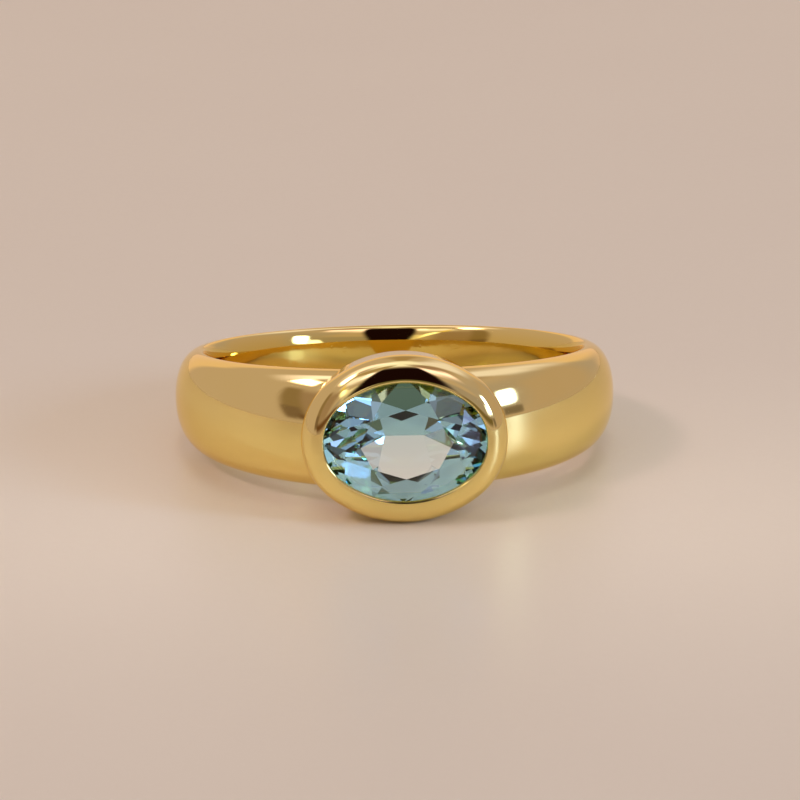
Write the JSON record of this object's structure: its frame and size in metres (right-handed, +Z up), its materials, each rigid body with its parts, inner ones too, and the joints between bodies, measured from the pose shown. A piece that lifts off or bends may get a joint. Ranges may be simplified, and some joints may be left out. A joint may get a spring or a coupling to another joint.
{
  "type": "bezel set ring",
  "caption": "Domed yellow gold ring that narrows to the back, with a pale blue oval cut stone set across the finger in a thick rounded bezel.",
  "frame": {"origin": "on the surface that the ring lies on, under the middle of its bounding box", "axes": "+Z up, away from the surface; -Y towards the stone, square to the face of the bezel but for the ring's lean; +X along the length of the stone, to the right seen from the stone's side"},
  "size_m": [0.0212, 0.0236, 0.0079],
  "materials": {
    "gold": "mirror polished yellow gold",
    "stone": "clear pale blue, polished facets"
  },
  "bodies": {
    "root": {"band_with_bezel": "gold", "stone": "stone"}
  },
  "joints": []
}
